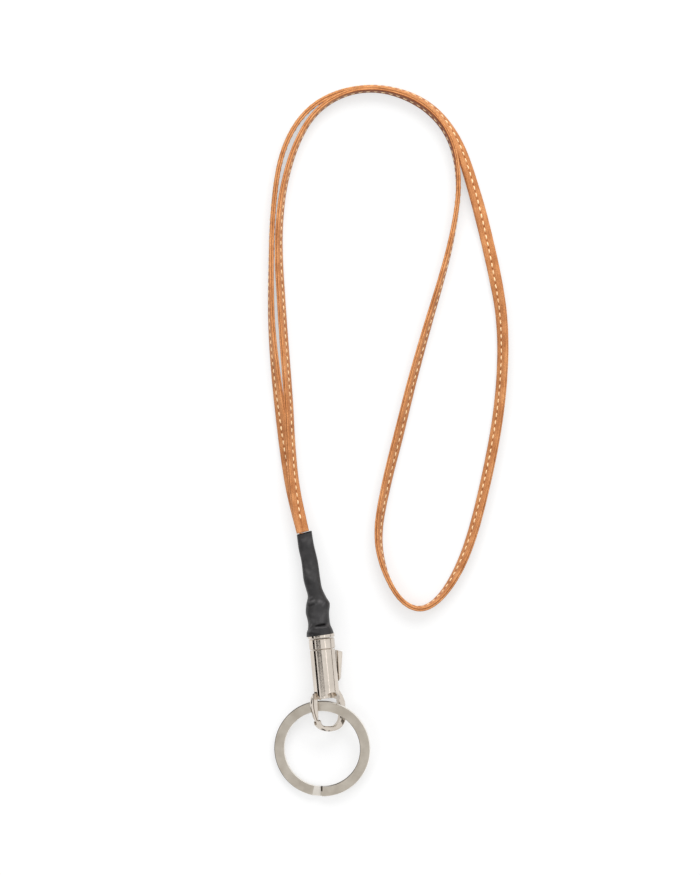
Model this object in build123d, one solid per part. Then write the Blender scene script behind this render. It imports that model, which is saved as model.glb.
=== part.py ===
from build123d import *
import math
import os

# A neck lanyard: a narrow two-ply leather strap whose ends fold through the bow of a swivel,
# under a soft black sleeve, with a barrel snap hook and a flat split key ring.
# Millimetres. +Z is up from the table it lies on, +Y runs along the hook's barrel to the strap,
# and the origin is on the table, under the middle of the sleeve, hook and ring taken together.

# Strap
STRAP_WIDTH = 5.0
PLY_THICKNESS = 0.9
STRAP_CORNER_SHARE = 0.45
STRAP_LEAD = 14.0
STRAP_SPREAD = 1.25
STRAP_ROUTE = [
    (-4.0, 88.0),
    (-4.8, 118.0),
    (-3.4, 148.0),
    (0.2, 178.0),
    (6.5, 203.0),
    (17.5, 218.5),
    (33.0, 225.5),
    (50.0, 225.2),
    (66.5, 217.5),
    (76.5, 202.0),
    (81.5, 180.0),
    (85.5, 152.0),
    (87.3, 126.0),
    (84.0, 99.0),
    (77.0, 71.0),
    (68.5, 45.5),
    (60.5, 29.5),
    (51.5, 19.0),
    (43.2, 15.8),
    (35.5, 20.8),
    (30.4, 33.0),
    (29.0, 48.0),
    (33.8, 66.0),
    (42.8, 90.0),
    (52.8, 116.0),
    (63.5, 143.0),
    (71.5, 166.0),
    (75.2, 184.0),
    (73.0, 201.5),
    (63.5, 214.0),
    (48.5, 221.0),
    (32.5, 220.8),
    (18.5, 211.5),
    (8.0, 193.0),
    (2.6, 168.0),
    (1.0, 140.0),
    (0.3, 112.0),
    (-0.6, 88.0),
]

# Folded strap ends, inside the sleeve
FOLD_WIDTH = 4.4
FOLD_CLEARANCE = 0.1
FOLD_STRAIGHT = 5.8
FOLD_WAIST = (1.9, 38.0, 3.8)
FOLD_WAIST_GAP = 0.7
MOUTH_CENTRE = (0.5, 52.01, 2.8)
MOUTH_LEAN = 8.0

# Sleeve, from the swivel's disc up to the mouth
SLEEVE_WALL = 0.55
SLEEVE_EASE = 0.35
SLEEVE_SHIFT = -0.2
SLEEVE_FOOT_NARROWER = 0.8
SLEEVE_FOOT_FLATTER = 1.5
SLEEVE_FOOT_CORNER = 4.3
SLEEVE_CREASE_UP = 3.2
SLEEVE_CREASE_WIDTH = 7.6
SLEEVE_CREASE_CORNER = 2.8
SLEEVE_ROOM_OVER_FOLD = 2.2
SLEEVE_BOW_FROM = 1.8
SLEEVE_BOW_TO = 0.6
SLEEVE_BOW_CORNER = 2.2
SLEEVE_PAST_RIVET = 0.4
SLEEVE_RIVET_WIDER = 0.9
SLEEVE_RIVET_CORNER = 1.5
SLEEVE_SLANT_UP = 3.3
SLEEVE_SLANT_OVER = 1.3
SLEEVE_SLANT_LIFT = 0.95
SLEEVE_SLANT_FLATTER = 1.2
SLEEVE_SLANT_CORNER = 0.8
SLEEVE_WAIST_CORNER = 0.6
SLEEVE_MOUTH_WIDER = 0.4
SLEEVE_MOUTH_CORNER = 0.8

# Rivet through the fold
RIVET_SHANK_R = 0.9
RIVET_HEAD_R = 1.7
RIVET_HEAD = 0.45
RIVET_ABOVE_BAR = 4.0

# Swivel, on the barrel's axis
BARREL_X = 3.8
BARREL_TOP_Y = 5.2
BOW_WIRE_R = 0.65
BOW_HALF_WIDTH = 3.2
BOW_BASE_HALF_WIDTH = 2.6
BOW_BAR_ABOVE_BARREL = 15.0
BOW_CORNER_R = 1.2
DISC_PAST_CAP = 0.2
DISC_THICKNESS = 1.6
DISC_ROUND = 0.35
STEM_R = 1.5
STEM_CLEARANCE = 0.05
PLAY = 0.05
THRUST_WASHER = 0.2
THRUST_WASHER_R = 3.2
RETAINER = 0.5
RETAINER_R = 2.5
STEM_HEAD = 0.5
STEM_HEAD_R = 2.1

# Cap on the barrel's top
CAP_PAST_BARREL = 0.1
CAP_FLOOR_GAP = 0.25
CAP_BAND = 4.2
CAP_TOP = 1.2
CAP_CAVITY_R = 3.0
CAP_PLUG = 2.6
CAP_EDGE = 0.3

# Hook: barrel and claw, turned about the barrel's axis as it lies. Heights are from the
# barrel's lower end, up towards the strap.
HOOK_ROLL = 29.0
BARREL_R = 5.0
BARREL_WALL = 1.1
BARREL_LENGTH = 20.0
ARCH_TOP = 3.0
ARCH_HALF_WIDTH = 4.5
ARCH_BACK = -2.0
ARCH_BACK_TOP = 0.45
CLAW_THICKNESS = 2.6
CLAW_EDGE = 0.45
CLAW_FOOT = -12.3
CLAW_BAR = 1.9
TAB_SLOT_CLEARANCE = 0.25
TAB_SLOT_FOOT = 6.4
GATE_SLOT_CLEARANCE = 0.5
GATE_SLOT_TOP = 3.7
NOSE_SLOT_CLEARANCE = 0.2
NOSE_SLOT_FLOOR = -9.7

# Lever: thumb tab, web and gate in one piece
LEVER_THICKNESS = 1.4
GATE_EDGE = 0.3
TAB_THICKNESS = 2.5
TAB_EDGE = 0.3
PIVOT_U = 1.0
PIVOT_V = 8.5
PIN_R = 0.8
PIN_CLEARANCE = 0.05
PIN_COVER = 0.5
PIN_SUNK = 0.25
HUB_R = 2.0
HUB_PAST_LEVER = 0.2
GATE_OUTLINE = [
    (5.6, 10.4),
    (5.6, 6.9),
    (2.6, 6.4),
    (0.2, 5.4),
    (-2.4, 3.6),
    (-4.3, 1.2),
    (-4.6, -0.4),
    (-4.75, -3.5),
    (-5.0, -6.6),
    (-5.0, -8.0),
    (-5.5, -8.5),
    (-6.1, -8.0),
    (-6.8, -6.6),
    (-7.6, -2.8),
    (-7.75, -0.6),
    (-7.1, 1.6),
    (-5.8, 3.2),
    (-3.7, 3.5),
    (-3.3, 4.8),
    (-2.4, 7.2),
    (-0.6, 10.3),
    (2.4, 11.0),
]
TAB_OUTLINE = [
    (5.5, 10.4),
    (6.0, 19.2),
    (8.3, 18.3),
    (8.15, 17.0),
    (7.2, 12.0),
    (6.4, 8.0),
    (5.4, 7.0),
]

# Lever's torsion spring
SPRING_WIRE_R = 0.22
SPRING_COIL_R = 1.35
SPRING_TURNS = 3
SPRING_PITCH = 0.55
SPRING_LEG = 4.2
SPRING_BEAD_R = 0.26
SPRING_GAP = 0.15

# Split ring
RING_OUTER_R = 19.0
RING_INNER_R = 15.0
COIL_THICKNESS = 0.9
COIL_GAP = 0.06
COIL_EDGE = 0.2
RING_X = 0.0
RING_TOP_BELOW_BARREL = 0.0
RING_RISE = 4.8
RING_RISE_TOWARDS = 38.0
RING_LIFT = 0.02
JOG_LOW = -98.0
JOG_HIGH = -108.0
COIL_END_GAP = 2.0
COIL_START_GAP = 1.0

bore_r = BARREL_R - BARREL_WALL
cap_r = BARREL_R + CAP_PAST_BARREL
disc_r = cap_r + DISC_PAST_CAP
barrel_z = disc_r
strap_thickness = 2 * PLY_THICKNESS
bar_y = BARREL_TOP_Y + BOW_BAR_ABOVE_BARREL
fold_inner_r = BOW_WIRE_R + FOLD_CLEARANCE
fold_outer_r = fold_inner_r + strap_thickness
ring_thickness = 2 * COIL_THICKNESS + COIL_GAP
tab_slot = TAB_THICKNESS + 2 * TAB_SLOT_CLEARANCE
gate_slot = LEVER_THICKNESS + 2 * GATE_SLOT_CLEARANCE
nose_gap = LEVER_THICKNESS + 2 * NOSE_SLOT_CLEARANCE
hub_thickness = LEVER_THICKNESS + 2 * HUB_PAST_LEVER
cap_top_v = CAP_FLOOR_GAP + CAP_BAND
disc_bottom_v = cap_top_v + THRUST_WASHER + PLAY
disc_top_v = disc_bottom_v + DISC_THICKNESS


def along_barrel(radius, low, high):
    """A round bar on the barrel's axis, in the hook's own directions: across, along, through."""
    bar = Cylinder(radius, high - low, align=(Align.CENTER, Align.CENTER, Align.MIN))
    return Pos(0, low, 0) * Rot(-90, 0, 0) * bar


def through_plate(radius, low, high):
    """A round bar that runs through the hook's plate."""
    bar = Cylinder(radius, high - low, align=(Align.CENTER, Align.CENTER, Align.MIN))
    return Pos(PIVOT_U, PIVOT_V, low) * bar


def block(low, high):
    """A block between two corners."""
    size = [b - a for a, b in zip(low, high)]
    middle = [(a + b) / 2 for a, b in zip(low, high)]
    return Pos(*middle) * Box(*size)


def plate(outline, thickness):
    """A flat plate cut to an outline, half its thickness to each side."""
    return extrude(make_face(outline), amount=thickness / 2, both=True)


def on_swivel(shape):
    """Puts a shape on the barrel's axis, not turned, measured from the barrel's top."""
    return Pos(BARREL_X, BARREL_TOP_Y, barrel_z) * shape


def on_hook(shape):
    """Puts a shape on the barrel's axis, turned as the hook lies, measured from its lower end."""
    return Pos(BARREL_X, BARREL_TOP_Y - BARREL_LENGTH, barrel_z) * Rot(0, HOOK_ROLL, 0) * shape


def corner_radii(points):
    """The largest arc at each corner that leaves a straight length between neighbours."""
    radii = []
    for before, here, after in zip(points, points[1:], points[2:]):
        arriving = Vector(here) - Vector(before)
        leaving = Vector(after) - Vector(here)
        half_turn = math.radians(arriving.get_angle(leaving)) / 2
        shorter = min(arriving.length, leaving.length)
        radii.append(STRAP_CORNER_SHARE * shorter / math.tan(half_turn))
    return radii


def strap_exit(side, distance):
    """A point straight out of the sleeve's mouth, on one strand's line, at the strap's height."""
    mouth = mouth_plane()
    point = mouth.origin + mouth.x_dir * side * STRAP_SPREAD + mouth.z_dir * distance
    return (point.X, point.Y, STRAP_WIDTH / 2)


def strap_path():
    """The strap's middle line, level, with the strap standing on its edge."""
    points = [strap_exit(-1, 0), strap_exit(-1, STRAP_LEAD)]
    points += [(x, y, STRAP_WIDTH / 2) for x, y in STRAP_ROUTE]
    points += [strap_exit(1, STRAP_LEAD), strap_exit(1, 0)]
    radii = corner_radii(points)
    print("strap corner radii:", [round(r, 1) for r in radii])
    return FilletPolyline(*points, radius=radii)


def strap_ply(path, side):
    """One leather ply, swept along the strap's line on one side of the glue line."""
    start = Plane(origin=path @ 0, x_dir=(0, 0, 1), z_dir=path % 0)
    section = start * Pos(0, side * PLY_THICKNESS / 2) * Rectangle(STRAP_WIDTH, PLY_THICKNESS)
    ply = sweep(section, path=path)
    expected = path.length * STRAP_WIDTH * PLY_THICKNESS
    print("strap ply volume", round(ply.volume, 1), "section times length", round(expected, 1))
    return ply


def strap_fold():
    """The strap's two ends as one strip, from the sleeve's mouth round the swivel's bar and back."""
    tube = Cylinder(fold_outer_r, FOLD_WIDTH) - Cylinder(fold_inner_r, FOLD_WIDTH)
    lower_half = block(
        (-FOLD_WIDTH, -2 * fold_outer_r, -2 * fold_outer_r),
        (FOLD_WIDTH, 0, 2 * fold_outer_r),
    )
    fold = Pos(BARREL_X, bar_y, barrel_z) * (Rot(0, 90, 0) * tube & lower_half)
    for side in (-1, 1):
        fold += fold_leg(side)
    return fold - rivet_hole()


def fold_leg(side):
    """One leg of the fold: straight past the rivet, then slanting to the sleeve's mouth."""
    strip = Rectangle(FOLD_WIDTH, strap_thickness)
    leg_z = barrel_z + side * (fold_inner_r + fold_outer_r) / 2
    waist_x, waist_y, waist_z = FOLD_WAIST
    waist_z += side * (FOLD_WAIST_GAP + strap_thickness) / 2
    stations = [
        along_y(BARREL_X, bar_y, leg_z),
        along_y(BARREL_X, bar_y + FOLD_STRAIGHT, leg_z),
        along_y(waist_x, waist_y, waist_z),
        mouth_plane(side * (FOLD_CLEARANCE + strap_thickness) / 2),
    ]
    return loft([station * strip for station in stations], ruled=True)


def along_y(x, y, z):
    """A plane across the barrel's direction."""
    return Plane((x, y, z), x_dir=(1, 0, 0), z_dir=(0, 1, 0))


def mouth_plane(lift=0.0):
    """The plane of the sleeve's mouth, where the strap leaves it."""
    lean = math.radians(MOUTH_LEAN)
    x, y, z = MOUTH_CENTRE
    return Plane(
        (x, y, z + lift),
        x_dir=(math.cos(lean), math.sin(lean), 0),
        z_dir=(-math.sin(lean), math.cos(lean), 0),
    )


def rivet_hole():
    """The hole that the rivet's shank fills."""
    hole = Cylinder(RIVET_SHANK_R, 3 * fold_outer_r)
    return Pos(BARREL_X, bar_y + RIVET_ABOVE_BAR, barrel_z) * hole


def fold_rivet():
    """A rivet with a flat head on each side of the fold."""
    rivet = Cylinder(RIVET_SHANK_R, 2 * fold_outer_r)
    for side in (-1, 1):
        head = Cylinder(RIVET_HEAD_R, RIVET_HEAD)
        rivet += Pos(0, 0, side * (fold_outer_r + RIVET_HEAD / 2)) * head
    return Pos(BARREL_X, bar_y + RIVET_ABOVE_BAR, barrel_z) * rivet


def sleeve_rings():
    """The sleeve's inside from the disc to the mouth: plane, width, height and corner radius."""
    x = BARREL_X + SLEEVE_SHIFT
    foot_y = BARREL_TOP_Y + disc_top_v
    rivet_y = bar_y + RIVET_ABOVE_BAR + SLEEVE_PAST_RIVET
    slant_y = bar_y + FOLD_STRAIGHT + SLEEVE_SLANT_UP
    waist_x, waist_y, waist_z = FOLD_WAIST
    slant = along_y(waist_x + SLEEVE_SLANT_OVER, slant_y, waist_z + SLEEVE_SLANT_LIFT)
    bow_width = 2 * (BOW_HALF_WIDTH + BOW_WIRE_R + SLEEVE_EASE)
    strap_width = FOLD_WIDTH + 2 * SLEEVE_EASE
    rivet_width = strap_width + SLEEVE_RIVET_WIDER
    mouth_width = strap_width + SLEEVE_MOUTH_WIDER
    bar_height = 2 * fold_outer_r + SLEEVE_ROOM_OVER_FOLD
    slant_height = bar_height - SLEEVE_SLANT_FLATTER
    waist_height = FOLD_WAIST_GAP + 2 * strap_thickness + 2 * SLEEVE_EASE
    mouth_height = FOLD_CLEARANCE + 2 * strap_thickness + SLEEVE_EASE
    foot_width = 2 * disc_r - SLEEVE_FOOT_NARROWER
    foot_height = 2 * disc_r - SLEEVE_FOOT_FLATTER
    foot = (foot_width, foot_height, SLEEVE_FOOT_CORNER)
    crease = (SLEEVE_CREASE_WIDTH, bar_height, SLEEVE_CREASE_CORNER)
    bow = (bow_width, bar_height, SLEEVE_BOW_CORNER)
    return [
        (along_y(x, foot_y, barrel_z), *foot),
        (along_y(x, foot_y + SLEEVE_CREASE_UP, barrel_z), *crease),
        (along_y(x, bar_y - SLEEVE_BOW_FROM, barrel_z), *bow),
        (along_y(x, bar_y + SLEEVE_BOW_TO, barrel_z), *bow),
        (along_y(x, rivet_y, barrel_z), rivet_width, bar_height, SLEEVE_RIVET_CORNER),
        (slant, strap_width, slant_height, SLEEVE_SLANT_CORNER),
        (along_y(*FOLD_WAIST), strap_width, waist_height, SLEEVE_WAIST_CORNER),
        (mouth_plane(), mouth_width, mouth_height, SLEEVE_MOUTH_CORNER),
    ]


def sleeve_skin(wall):
    """The sleeve's inside as a solid, made larger all round by a wall."""
    faces = []
    for plane, width, height, corner in sleeve_rings():
        outline = RectangleRounded(width + 2 * wall, height + 2 * wall, corner + wall)
        faces.append(plane * outline)
    return loft(faces, ruled=True)


def sleeve():
    """The soft tube over the fold, from the swivel's disc to the strap."""
    return sleeve_skin(SLEEVE_WALL) - sleeve_skin(0)


def swivel_eye():
    """Bow, disc and stem in one casting, with the stem's end peened over the washer."""
    bar_v = BOW_BAR_ABOVE_BARREL
    corners = [
        (-BOW_BASE_HALF_WIDTH, disc_top_v - DISC_THICKNESS / 2, 0),
        (-BOW_HALF_WIDTH, bar_v, 0),
        (BOW_HALF_WIDTH, bar_v, 0),
        (BOW_BASE_HALF_WIDTH, disc_top_v - DISC_THICKNESS / 2, 0),
    ]
    path = FilletPolyline(*corners, radius=[BOW_CORNER_R, BOW_CORNER_R])
    bow = sweep(Plane(origin=path @ 0, z_dir=path % 0) * Circle(BOW_WIRE_R), path=path)
    disc = along_barrel(disc_r, disc_bottom_v, disc_top_v)
    disc = fillet(disc.edges().filter_by(GeomType.CIRCLE), DISC_ROUND)
    stem = along_barrel(STEM_R, stem_end_v(), disc_bottom_v)
    head = along_barrel(STEM_HEAD_R, stem_end_v(), stem_end_v() + STEM_HEAD)
    return on_swivel(disc + bow + stem + head)


def retainer_top_v():
    """Just under the cap's top plate."""
    return cap_top_v - CAP_TOP - PLAY


def stem_end_v():
    """The stem's lower end, under the retaining washer."""
    return retainer_top_v() - RETAINER - STEM_HEAD


def thrust_washer():
    """A thin washer that the disc turns on, on the cap's top."""
    washer = along_barrel(THRUST_WASHER_R, cap_top_v, cap_top_v + THRUST_WASHER)
    hole = along_barrel(STEM_R + STEM_CLEARANCE, 0, disc_top_v)
    return on_swivel(washer - hole)


def retaining_washer():
    """The washer on the stem's end that stops the swivel pulling out of the cap."""
    washer = along_barrel(RETAINER_R, retainer_top_v() - RETAINER, retainer_top_v())
    return on_swivel(washer - along_barrel(STEM_R, 0, disc_top_v))


def barrel_cap():
    """The plain band on top of the barrel, with its top plate and the plug that seats in the bore."""
    band = along_barrel(cap_r, CAP_FLOOR_GAP, cap_top_v)
    band = chamfer(band.edges().filter_by(GeomType.CIRCLE), CAP_EDGE)
    plug = along_barrel(bore_r, -CAP_PLUG, CAP_FLOOR_GAP + CAP_EDGE)
    cavity = along_barrel(CAP_CAVITY_R, -CAP_PLUG, cap_top_v - CAP_TOP)
    hole = along_barrel(STEM_R + STEM_CLEARANCE, 0, cap_top_v)
    return on_hook(Pos(0, BARREL_LENGTH, 0) * (band + plug - cavity - hole))


def eye_outline():
    """The opening under the barrel, with its arched top."""
    half = ARCH_HALF_WIDTH
    floor = CLAW_FOOT + CLAW_BAR
    arch = ThreePointArc((-half, 0), (0, ARCH_TOP), (half, 0))
    right = Line((half, 0), (half + 0.1, floor + 4.0))
    corner = ThreePointArc((half + 0.1, floor + 4.0), (3.3, floor + 1.1), (0.6, floor))
    bottom = Line((0.6, floor), (-2.4, floor + 0.35))
    nose = ThreePointArc((-2.4, floor + 0.35), (-3.7, floor + 1.1), (-4.1, floor + 2.6))
    left = Line((-4.1, floor + 2.6), (-half, 0))
    return arch + right + corner + bottom + nose + left


def eye_bevel():
    """What is cut off the eye's edge on one face of the claw, at 45 degrees."""
    slope = extrude(make_face(eye_outline()), amount=CLAW_EDGE, taper=-45)
    return Pos(0, 0, CLAW_THICKNESS / 2 - CLAW_EDGE) * slope


def claw_outline():
    """The claw's outer edge, from its root on the barrel round to the nose."""
    root = Polyline((3.5, 6.0), (4.95, 6.0), (5.2, 3.6), (6.5, 1.3), (7.4, -1.4))
    side = Line((7.4, -1.4), (7.1, -8.0))
    bottom = ThreePointArc((7.1, -8.0), (4.9, -11.1), (1.0, CLAW_FOOT))
    under = ThreePointArc((1.0, CLAW_FOOT), (-3.4, CLAW_FOOT + 0.6), (-6.3, CLAW_FOOT + 3.0))
    nose = Polyline(
        (-6.3, CLAW_FOOT + 3.0),
        (-6.5, -8.0),
        (-5.9, -7.4),
        (-4.6, -7.3),
        (-3.5, -8.4),
    )
    inside = Polyline((-3.5, -8.4), (-1.0, -6.0), (3.5, 0), (3.5, 6.0))
    return root + side + bottom + under + nose + inside


def gate_shoulder():
    """What is cut off the barrel's left lower edge, where the gate's back stands out."""
    return Polyline(
        (-4.1, 0.3),
        (-5.3, GATE_SLOT_TOP),
        (-6.0, GATE_SLOT_TOP),
        (-6.0, -1.0),
        (-4.1, -1.0),
        close=True,
    )


def nose_slot():
    """The notch between the nose's two cheeks, which the gate's tip closes into."""
    return Polyline(
        (-8.0, -6.0),
        (-8.0, -7.4),
        (-5.7, NOSE_SLOT_FLOOR),
        (-2.8, NOSE_SLOT_FLOOR),
        (-2.8, -6.0),
        close=True,
    )


def hook_body():
    """The tubular barrel and the claw below it, with slots for the lever."""
    eye = plate(eye_outline(), 3 * BARREL_R)
    claw = plate(claw_outline(), CLAW_THICKNESS)
    claw = chamfer(claw.faces().sort_by(Axis.Z)[-1].edges(), CLAW_EDGE)
    claw = chamfer(claw.faces().sort_by(Axis.Z)[0].edges(), CLAW_EDGE)
    claw -= eye
    claw -= eye_bevel()
    claw -= mirror(eye_bevel(), about=Plane.XY)
    claw -= plate(nose_slot(), nose_gap)
    barrel = along_barrel(BARREL_R, 0, BARREL_LENGTH)
    barrel -= plate(gate_shoulder(), 3 * BARREL_R)
    barrel -= eye & block(
        (-2 * BARREL_R, -2 * BARREL_R, ARCH_BACK),
        (2 * BARREL_R, BARREL_LENGTH, 2 * BARREL_R),
    )
    barrel -= eye & block(
        (-2 * BARREL_R, -2 * BARREL_R, -2 * BARREL_R),
        (2 * BARREL_R, ARCH_BACK_TOP, 2 * BARREL_R),
    )
    body = barrel + claw
    body -= along_barrel(bore_r, 0, BARREL_LENGTH)
    body -= block(
        (0, TAB_SLOT_FOOT, -tab_slot / 2),
        (2 * BARREL_R, BARREL_LENGTH, tab_slot / 2),
    )
    body -= block(
        (-2 * BARREL_R, 0, -gate_slot / 2),
        (0, GATE_SLOT_TOP, gate_slot / 2),
    )
    body -= through_plate(PIN_R, -BARREL_R, BARREL_R - PIN_COVER)
    return on_hook(body)


def lever_pin():
    """The pin that the lever turns on, pressed in from behind."""
    return on_hook(through_plate(PIN_R, -BARREL_R + PIN_SUNK, BARREL_R - PIN_COVER))


def gate_lever():
    """Thumb tab outside the barrel, web across the bore, and the gate that closes the eye."""
    blade = plate(Polyline(*GATE_OUTLINE, close=True), LEVER_THICKNESS)
    blade = chamfer(blade.faces().sort_by(Axis.Z)[-1].edges(), GATE_EDGE)
    blade = chamfer(blade.faces().sort_by(Axis.Z)[0].edges(), GATE_EDGE)
    thumb = plate(Polyline(*TAB_OUTLINE, close=True), TAB_THICKNESS)
    thumb = chamfer(thumb.faces().sort_by(Axis.Z)[-1].edges(), TAB_EDGE)
    thumb = chamfer(thumb.faces().sort_by(Axis.Z)[0].edges(), TAB_EDGE)
    hub = through_plate(HUB_R, -hub_thickness / 2, hub_thickness / 2)
    hole = through_plate(PIN_R + PIN_CLEARANCE, -BARREL_R, BARREL_R)
    return on_hook(blade + thumb + hub - hole)


def lever_spring():
    """A torsion spring round the pin, beside the lever, with a leg each way along the bore."""
    start_w = hub_thickness / 2 + SPRING_WIRE_R + SPRING_GAP
    height = SPRING_TURNS * SPRING_PITCH
    coil_line = Helix(SPRING_PITCH, height, SPRING_COIL_R)
    section = Plane(origin=coil_line @ 0, z_dir=coil_line % 0) * Circle(SPRING_WIRE_R)
    spring = sweep(section, path=coil_line, is_frenet=True)
    for lift, turn in ((0, 90), (height, -90)):
        leg = Cylinder(SPRING_WIRE_R, SPRING_LEG, align=(Align.CENTER, Align.CENTER, Align.MIN))
        spring += Pos(SPRING_COIL_R, 0, lift) * (Rot(turn, 0, 0) * leg + Sphere(SPRING_BEAD_R))
    return on_hook(Pos(PIVOT_U, PIVOT_V, start_w) * Rot(0, 0, 180) * spring)


def ring_place():
    """The split ring's own place: flat on the table at its far side, leaning on the claw."""
    tilt = math.asin(RING_RISE / (2 * RING_OUTER_R))
    rise = math.radians(RING_RISE_TOWARDS)
    ring_y = BARREL_TOP_Y - BARREL_LENGTH - RING_TOP_BELOW_BARREL - RING_OUTER_R
    normal = (
        -math.sin(tilt) * math.cos(rise),
        -math.sin(tilt) * math.sin(rise),
        math.cos(tilt),
    )
    lift = RING_OUTER_R * math.sin(tilt) + ring_thickness / 2 * math.cos(tilt) + RING_LIFT
    return Plane((RING_X, ring_y, lift), x_dir=(math.cos(tilt), 0, -normal[0]), z_dir=normal)


def coil_section(middle_z):
    """One coil's section, across the ring at angle nought, with broken edges."""
    flat = Rectangle(RING_OUTER_R - RING_INNER_R, COIL_THICKNESS)
    flat = chamfer(flat.vertices(), COIL_EDGE)
    radius = (RING_OUTER_R + RING_INNER_R) / 2
    return Plane((radius, 0, middle_z), x_dir=(1, 0, 0), z_dir=(0, -1, 0)) * flat


def split_ring():
    """Two flat coils, one on the other, joined where the strip steps from one to the other."""
    step = (COIL_THICKNESS + COIL_GAP) / 2
    lower_arc = 360 - (JOG_LOW - JOG_HIGH) - COIL_START_GAP
    upper_arc = 360 - (JOG_LOW - JOG_HIGH) - COIL_END_GAP
    lower = Rot(0, 0, JOG_LOW) * revolve(coil_section(-step), Axis.Z, lower_arc)
    upper = Rot(0, 0, JOG_HIGH - upper_arc) * revolve(coil_section(step), Axis.Z, upper_arc)
    jog = loft(
        [
            Rot(0, 0, JOG_LOW) * coil_section(-step),
            Rot(0, 0, JOG_HIGH) * coil_section(step),
        ],
        ruled=True,
    )
    return ring_place().location * (lower + upper + jog)


def write(name, shape):
    """Writes one piece to its own file."""
    export_step(shape, os.path.join("parts", name + ".step"))


os.makedirs("parts", exist_ok=True)
middle_line = strap_path()
print("strap length", round(middle_line.length, 1))
write("strap_face_ply", strap_ply(middle_line, -1))
write("strap_back_ply", strap_ply(middle_line, 1))
write("strap_fold", strap_fold())
write("fold_rivet", fold_rivet())
write("sleeve", sleeve())
write("swivel_eye", swivel_eye())
write("thrust_washer", thrust_washer())
write("retaining_washer", retaining_washer())
write("barrel_cap", barrel_cap())
write("hook_body", hook_body())
write("lever_pin", lever_pin())
write("gate_lever", gate_lever())
write("lever_spring", lever_spring())
write("split_ring", split_ring())
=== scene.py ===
import math

import bpy
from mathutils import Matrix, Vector, noise


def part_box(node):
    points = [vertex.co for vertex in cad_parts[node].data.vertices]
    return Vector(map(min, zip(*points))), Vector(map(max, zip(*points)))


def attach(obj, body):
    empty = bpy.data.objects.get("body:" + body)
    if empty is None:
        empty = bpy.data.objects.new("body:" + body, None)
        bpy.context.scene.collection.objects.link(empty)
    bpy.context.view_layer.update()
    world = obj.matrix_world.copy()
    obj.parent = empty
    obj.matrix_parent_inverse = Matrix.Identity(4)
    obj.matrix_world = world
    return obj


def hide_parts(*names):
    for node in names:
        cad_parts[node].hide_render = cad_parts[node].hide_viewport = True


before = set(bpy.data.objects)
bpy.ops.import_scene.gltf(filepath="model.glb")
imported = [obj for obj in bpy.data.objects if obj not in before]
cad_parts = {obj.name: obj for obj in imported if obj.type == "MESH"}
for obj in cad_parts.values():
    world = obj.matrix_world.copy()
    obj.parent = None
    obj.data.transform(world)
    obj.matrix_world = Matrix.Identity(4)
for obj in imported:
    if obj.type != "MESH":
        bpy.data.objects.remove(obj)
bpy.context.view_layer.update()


# Camera: a long lens straight above the table, turned a little so that the hook lies almost
# upright in the frame. The long side of the frame covers 346 mm of the table.
TABLE_SEEN = 0.3463
LENS = 200.0
FILM = 36.0
CAMERA_OVER = (0.02257, 0.0875)
CAMERA_TURN = math.atan2(-0.0952, 0.9955)
lens = bpy.data.cameras.new("camera")
lens.lens = LENS
lens.sensor_width = FILM
camera = bpy.data.objects.new("camera", lens)
bpy.context.scene.collection.objects.link(camera)
camera.location = (*CAMERA_OVER, TABLE_SEEN * LENS / FILM)
camera.rotation_euler = (0, 0, CAMERA_TURN)
bpy.context.scene.camera = camera
bpy.context.scene.view_settings.view_transform = "Standard"


# Strap: one narrow belt of tan waxed leather, two plies glued and stitched together. It runs out
# of the sleeve, round the neck loop and back into the sleeve, and turns slowly over as it goes,
# so that it stands on its edge over the crown of the arch and lies flat at the sleeve.
STRAP_WIDTH = 0.005
PLY = 0.0009
# Control points of the belt's line, in metres on the table, from one end to the other.
ROUTE = [
    (-0.00074, 0.05184),
    (-0.00269, 0.06570),
    (-0.0040, 0.0880),
    (-0.0048, 0.1180),
    (-0.0034, 0.1480),
    (0.0002, 0.1780),
    (0.0065, 0.2030),
    (0.0175, 0.2185),
    (0.0330, 0.2255),
    (0.0500, 0.2252),
    (0.0665, 0.2175),
    (0.0765, 0.2020),
    (0.0815, 0.1800),
    (0.0855, 0.1520),
    (0.0873, 0.1260),
    (0.0840, 0.0990),
    (0.0770, 0.0710),
    (0.0685, 0.0455),
    (0.0605, 0.0295),
    (0.0515, 0.0190),
    (0.0432, 0.0158),
    (0.0355, 0.0208),
    (0.0304, 0.0330),
    (0.0290, 0.0480),
    (0.0338, 0.0660),
    (0.0428, 0.0900),
    (0.0528, 0.1160),
    (0.0635, 0.1430),
    (0.0715, 0.1660),
    (0.0752, 0.1840),
    (0.0730, 0.2015),
    (0.0635, 0.2140),
    (0.0485, 0.2210),
    (0.0325, 0.2208),
    (0.0185, 0.2115),
    (0.0080, 0.1930),
    (0.0026, 0.1680),
    (0.0010, 0.1400),
    (0.0003, 0.1120),
    (-0.0006, 0.0880),
    (-0.00021, 0.06605),
    (0.00174, 0.05218),
]
# Degrees that the strap has turned from standing on edge, by millimetres along it.
TURN = [
    (0, -90), (7, -88), (22, -72), (37, -54), (59, -34), (81, -17), (110, -4), (150, -3),
    (185, -5), (200, -8), (221, -16), (233, -30), (241, -45), (254, -53), (267, -65),
    (282, -90), (299, -118), (310, -129), (322, -134), (344, -138), (371, -138), (397, -142),
    (414, -150), (428, -164), (438, -174), (447, -180), (458, -179), (469, -163), (480, -155),
    (490, -150), (514, -143), (543, -150), (572, -162), (593, -170), (611, -178), (621, -182),
    (635, -190), (648, -196), (660, -194), (672, -188), (700, -187), (716, -191), (743, -198),
    (756, -203), (783, -206), (809, -208), (827, -211), (841, -218), (850, -228), (857, -250),
    (864, -270),
]
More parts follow.
